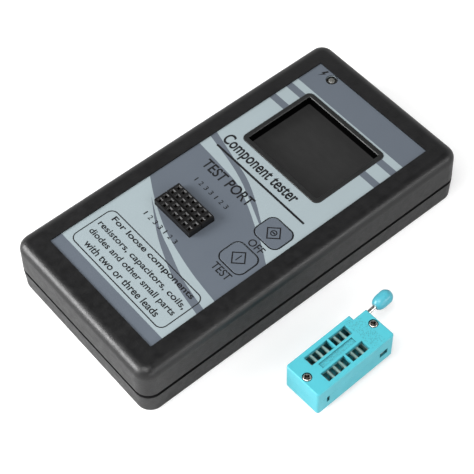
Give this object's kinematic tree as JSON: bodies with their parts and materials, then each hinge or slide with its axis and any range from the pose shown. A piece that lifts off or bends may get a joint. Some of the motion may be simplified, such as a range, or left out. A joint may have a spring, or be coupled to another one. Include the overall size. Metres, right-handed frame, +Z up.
{
  "type": "component tester",
  "caption": "Hand-held electronic component tester in a flat black case with a display, pin socket and two film keys, and its detachable lever test socket beside it.",
  "frame": {"origin": "centre of the case's underside", "axes": "+X to the right of the label's print, +Y towards the display end, +Z up out of the label"},
  "size_m": [0.1048, 0.1364, 0.024],
  "materials": {
    "upper_case": "fine moulded grain",
    "lower_case": "fine moulded grain",
    "case_screws": "black-ish plated",
    "board_screws": "plated",
    "front_label": "printed film, satin",
    "display_bezel": "satin",
    "display_glass": "dark, unlit",
    "display_tray": "satin",
    "display_flex": "amber film",
    "main_board": "solder resist",
    "microcontroller": "moulded",
    "microcontroller_leads": "tinned",
    "crystal": "nickel can",
    "charger_chip": "moulded",
    "chip_resistors": "glazed",
    "chip_capacitors": "ceramic",
    "electrolytic": "can",
    "header_front": "moulded",
    "header_rear": "moulded",
    "header_contacts": "tinned",
    "off_key": "printed film",
    "test_key": "printed film",
    "off_plunger": "moulded",
    "test_plunger": "moulded",
    "switch_bodies": "moulded",
    "charge_led": "clear lens, unlit",
    "led_leads": "tinned",
    "usb_port": "nickel",
    "battery_pad": "foam tape",
    "battery_cell": "pouch foil",
    "battery_plug": "nylon",
    "battery_socket": "nylon",
    "battery_leads": "sleeved wire",
    "zif_base": "moulded",
    "zif_cover": "moulded",
    "zif_screws": "plated",
    "zif_contacts": "nickel plated",
    "zif_slider": "moulded",
    "zif_lever": "polished steel",
    "zif_knob": "moulded"
  },
  "bodies": {
    "housing": {"upper_case": "upper_case", "lower_case": "lower_case", "case_screws": "case_screws", "board_screws": "board_screws", "front_label": "front_label", "display_bezel": "display_bezel", "display_glass": "display_glass", "display_tray": "display_tray", "display_flex": "display_flex", "main_board": "main_board", "microcontroller": "microcontroller", "microcontroller_leads": "microcontroller_leads", "crystal": "crystal", "charger_chip": "charger_chip", "chip_resistors": "chip_resistors", "chip_capacitors": "chip_capacitors", "electrolytic": "electrolytic", "header_front": "header_front", "header_rear": "header_rear", "header_contacts": "header_contacts", "switch_bodies": "switch_bodies", "charge_led": "charge_led", "led_leads": "led_leads", "usb_port": "usb_port", "battery_pad": "battery_pad", "battery_cell": "battery_cell", "battery_plug": "battery_plug", "battery_socket": "battery_socket", "battery_leads": "battery_leads"},
    "off_button": {"off_key": "off_key", "off_plunger": "off_plunger"},
    "test_button": {"test_key": "test_key", "test_plunger": "test_plunger"},
    "adapter": {"zif_base": "zif_base", "zif_cover": "zif_cover", "zif_screws": "zif_screws", "zif_contacts": "zif_contacts"},
    "adapter_lever": {"zif_lever": "zif_lever", "zif_knob": "zif_knob"},
    "adapter_comb": {"zif_slider": "zif_slider"}
  },
  "joints": [
    {"name": "off_press", "type": "slide", "parent": "housing", "child": "off_button", "axis": [0, 0, -1], "range_m": [0, 0.0003], "stiffness_N_per_m": 10},
    {"name": "test_press", "type": "slide", "parent": "housing", "child": "test_button", "axis": [0, 0, -1], "range_m": [0, 0.0003], "stiffness_N_per_m": 10},
    {"name": "adapter_lift", "type": "slide", "parent": "housing", "child": "adapter", "axis": [0, 0, 1], "range_m": [0, 0.045]},
    {"name": "lever_turn", "type": "hinge", "parent": "adapter", "child": "adapter_lever", "pos_m": [0.05552, 0.00005, 0.00765], "axis": [0.9996, 0.0297, 0], "range_deg": [0, 75]},
    {"name": "comb_slide", "type": "slide", "parent": "adapter", "child": "adapter_comb", "axis": [0.0297, -0.9996, 0], "range_m": [0, 0.00058]}
  ],
  "couplings": [
    {"joint": "comb_slide", "follows": "lever_turn", "m_per_rad": 0.000443}
  ]
}
